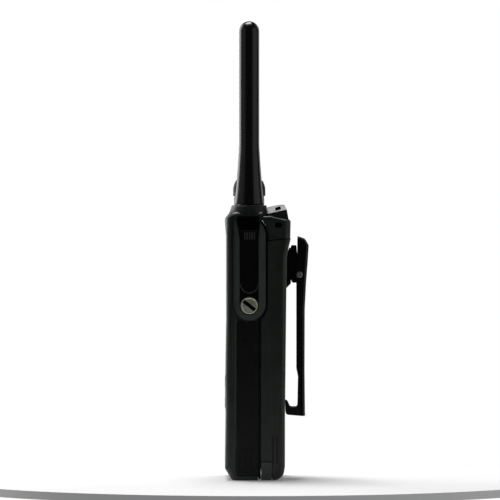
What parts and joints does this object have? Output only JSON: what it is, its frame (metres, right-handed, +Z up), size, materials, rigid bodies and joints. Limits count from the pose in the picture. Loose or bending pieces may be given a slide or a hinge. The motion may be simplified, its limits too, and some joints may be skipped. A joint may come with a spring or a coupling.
{
  "type": "portable radio",
  "caption": "Handheld two-way radio with whip antenna, two knobs, talk button, keypad, screwed socket cover and a battery pack with a sprung belt clip.",
  "frame": {"origin": "on the bottom face of the front shell, in the middle of its width", "axes": "+Z up along the antenna, -Y out of the front (speaker and keys), +Y out of the back (battery and belt clip), +X to the side with the accessory socket"},
  "size_m": [0.0562, 0.0421, 0.23],
  "materials": {
    "body_plastic": "fine satin grain",
    "frame_plastic": "satin",
    "cover_plastic": "satin",
    "grip_rubber": "matte",
    "key_rubber": "matte",
    "antenna_rubber": "satin",
    "knob_plastic": "satin",
    "orange_plastic": "gloss",
    "window_plastic": "gloss",
    "lamp_plastic": "gloss, translucent",
    "screw_metal": "turned",
    "spring_steel": "bright",
    "dark_steel": "black oxide",
    "cast_aluminium": "cast",
    "cell_can": "wrapped",
    "contact_gold": "bright",
    "circuit_board": "satin",
    "speaker_cone": "matte"
  },
  "bodies": {
    "radio": {"front_housing": "body_plastic", "side_grip_right": "grip_rubber", "side_grip_left": "grip_rubber", "accessory_frame": "frame_plastic", "accessory_contacts": "contact_gold", "rear_chassis": "cast_aluminium", "chassis_gasket": "grip_rubber", "chassis_screw_1": "spring_steel", "chassis_screw_2": "spring_steel", "chassis_screw_3": "spring_steel", "chassis_screw_4": "spring_steel", "battery_contacts": "contact_gold", "main_board": "circuit_board", "rf_shield": "spring_steel", "display_module": "window_plastic", "speaker": "speaker_cone", "speaker_grille": "dark_steel", "microphone": "spring_steel", "keypad_membrane": "key_rubber", "side_key_membrane": "key_rubber", "display_window": "window_plastic", "rear_top_block": "body_plastic", "antenna_socket": "dark_steel", "channel_encoder": "dark_steel", "volume_pot": "dark_steel", "status_led": "lamp_plastic"},
    "antenna": {"antenna": "antenna_rubber"},
    "channel_knob": {"channel_knob": "knob_plastic"},
    "volume_knob": {"volume_knob": "knob_plastic"},
    "emergency_button": {"emergency_button": "orange_plastic"},
    "ptt_button": {"ptt_button": "key_rubber"},
    "side_key_upper": {"side_key_upper": "key_rubber"},
    "side_key_lower": {"side_key_lower": "key_rubber"},
    "key_nav": {"key_nav": "key_rubber"},
    "key_menu": {"key_menu": "key_rubber"},
    "key_up": {"key_up": "key_rubber"},
    "key_back": {"key_back": "key_rubber"},
    "key_down": {"key_down": "key_rubber"},
    "accessory_cover": {"accessory_cover": "cover_plastic"},
    "cover_screw": {"cover_screw": "screw_metal"},
    "battery": {"battery_case": "body_plastic", "battery_lid": "cover_plastic", "battery_terminals": "contact_gold", "cell_1": "cell_can", "cell_2": "cell_can", "battery_board": "circuit_board", "clip_base": "cover_plastic", "clip_pin": "screw_metal", "clip_spring": "spring_steel", "clip_screw_1": "dark_steel", "clip_screw_2": "dark_steel", "latch_spring": "spring_steel"},
    "battery_latch": {"battery_latch": "frame_plastic"},
    "clip_lever": {"clip_lever": "cover_plastic"}
  },
  "joints": [
    {"name": "antenna_turn", "type": "hinge", "parent": "radio", "child": "antenna", "pos_m": [0.017, -0.0029, 0.1377], "axis": [0, 0, 1], "continuous": true},
    {"name": "channel_turn", "type": "hinge", "parent": "radio", "child": "channel_knob", "pos_m": [-0.0165, -0.0029, 0.135], "axis": [0, 0, 1], "range_deg": [0, 337.5]},
    {"name": "volume_turn", "type": "hinge", "parent": "radio", "child": "volume_knob", "pos_m": [0.0002, -0.0029, 0.135], "axis": [0, 0, 1], "range_deg": [0, 270]},
    {"name": "emergency_press", "type": "slide", "parent": "radio", "child": "emergency_button", "axis": [0, 0, -1], "range_m": [0, 0.0009], "stiffness_N_per_m": 400},
    {"name": "ptt_press", "type": "slide", "parent": "radio", "child": "ptt_button", "axis": [1, 0, 0], "range_m": [0, 0.0011], "stiffness_N_per_m": 400},
    {"name": "side_key_upper_press", "type": "slide", "parent": "radio", "child": "side_key_upper", "axis": [1, 0, 0], "range_m": [0, 0.0007], "stiffness_N_per_m": 400},
    {"name": "side_key_lower_press", "type": "slide", "parent": "radio", "child": "side_key_lower", "axis": [1, 0, 0], "range_m": [0, 0.0007], "stiffness_N_per_m": 400},
    {"name": "key_nav_press", "type": "slide", "parent": "radio", "child": "key_nav", "axis": [0, 1, 0], "range_m": [0, 0.0005], "stiffness_N_per_m": 400},
    {"name": "key_menu_press", "type": "slide", "parent": "radio", "child": "key_menu", "axis": [0, 1, 0], "range_m": [0, 0.0005], "stiffness_N_per_m": 400},
    {"name": "key_up_press", "type": "slide", "parent": "radio", "child": "key_up", "axis": [0, 1, 0], "range_m": [0, 0.0005], "stiffness_N_per_m": 400},
    {"name": "key_back_press", "type": "slide", "parent": "radio", "child": "key_back", "axis": [0, 1, 0], "range_m": [0, 0.0005], "stiffness_N_per_m": 400},
    {"name": "key_down_press", "type": "slide", "parent": "radio", "child": "key_down", "axis": [0, 1, 0], "range_m": [0, 0.0005], "stiffness_N_per_m": 400},
    {"name": "cover_swing", "type": "hinge", "parent": "radio", "child": "accessory_cover", "pos_m": [0.0252, -0.0029, 0.1252], "axis": [0, -1, 0], "range_deg": [0, 35]},
    {"name": "cover_screw_turn", "type": "hinge", "parent": "accessory_cover", "child": "cover_screw", "pos_m": [0.026, -0.0029, 0.08765], "axis": [1, 0, 0], "continuous": true},
    {"name": "battery_swing", "type": "hinge", "parent": "radio", "child": "battery", "pos_m": [0, 0.0178, 0.121], "axis": [1, 0, 0], "range_deg": [0, 20]},
    {"name": "battery_latch_slide", "type": "slide", "parent": "battery", "child": "battery_latch", "axis": [0, 0, 1], "range_m": [0, 0.0012], "stiffness_N_per_m": 400, "springref_m": -0.001, "deforming": ["latch_spring"]},
    {"name": "clip_squeeze", "type": "hinge", "parent": "battery", "child": "clip_lever", "pos_m": [0, 0.0224, 0.1028], "axis": [1, 0, 0], "range_deg": [0, 9], "stiffness_Nm_per_rad": 0.15, "springref_deg": -34.38, "deforming": ["clip_spring"]}
  ]
}
